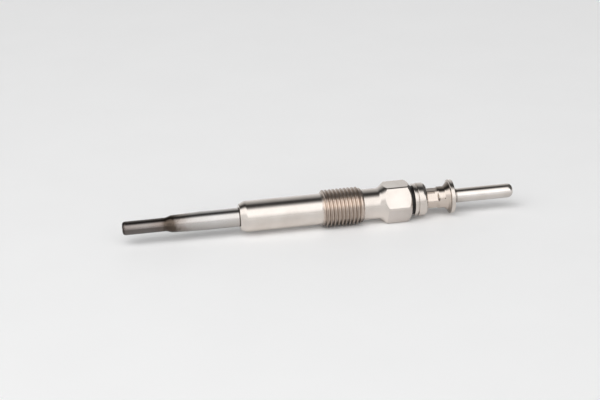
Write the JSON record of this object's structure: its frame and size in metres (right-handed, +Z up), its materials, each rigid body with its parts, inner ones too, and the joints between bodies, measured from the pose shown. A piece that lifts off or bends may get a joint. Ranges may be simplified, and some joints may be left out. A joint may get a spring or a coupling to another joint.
{
  "type": "glow plug",
  "caption": "Sheathed diesel glow plug: a slim swaged heater tube in a threaded hexagon housing, with a black insulating washer and a round push-on terminal pin.",
  "frame": {"origin": "on the plug's axis, where the sealing cone reaches the full shank diameter", "axes": "+X along the axis from the heated tip to the terminal pin, +Z up, with a flat of the hexagon facing down"},
  "size_m": [0.1044, 0.0112, 0.01],
  "materials": {
    "nickel_plate": "bright nickel plate, slightly warm",
    "sheath_steel": "bright drawn tube, brown heat tint at the tip",
    "coil_wire": "drawn resistance wire",
    "oxide_powder": "pressed white powder",
    "seal_rubber": "matt black rubber",
    "rod_steel": "drawn steel",
    "black_plastic": "moulded black plastic"
  },
  "bodies": {
    "root": {"housing": "nickel_plate", "glow_tube": "sheath_steel", "heating_coil": "coil_wire", "control_coil": "coil_wire", "insulating_powder": "oxide_powder", "tube_bung": "seal_rubber", "connecting_rod": "rod_steel", "sealing_ring": "seal_rubber", "insulating_washer": "black_plastic", "terminal_cap": "nickel_plate"}
  },
  "joints": []
}
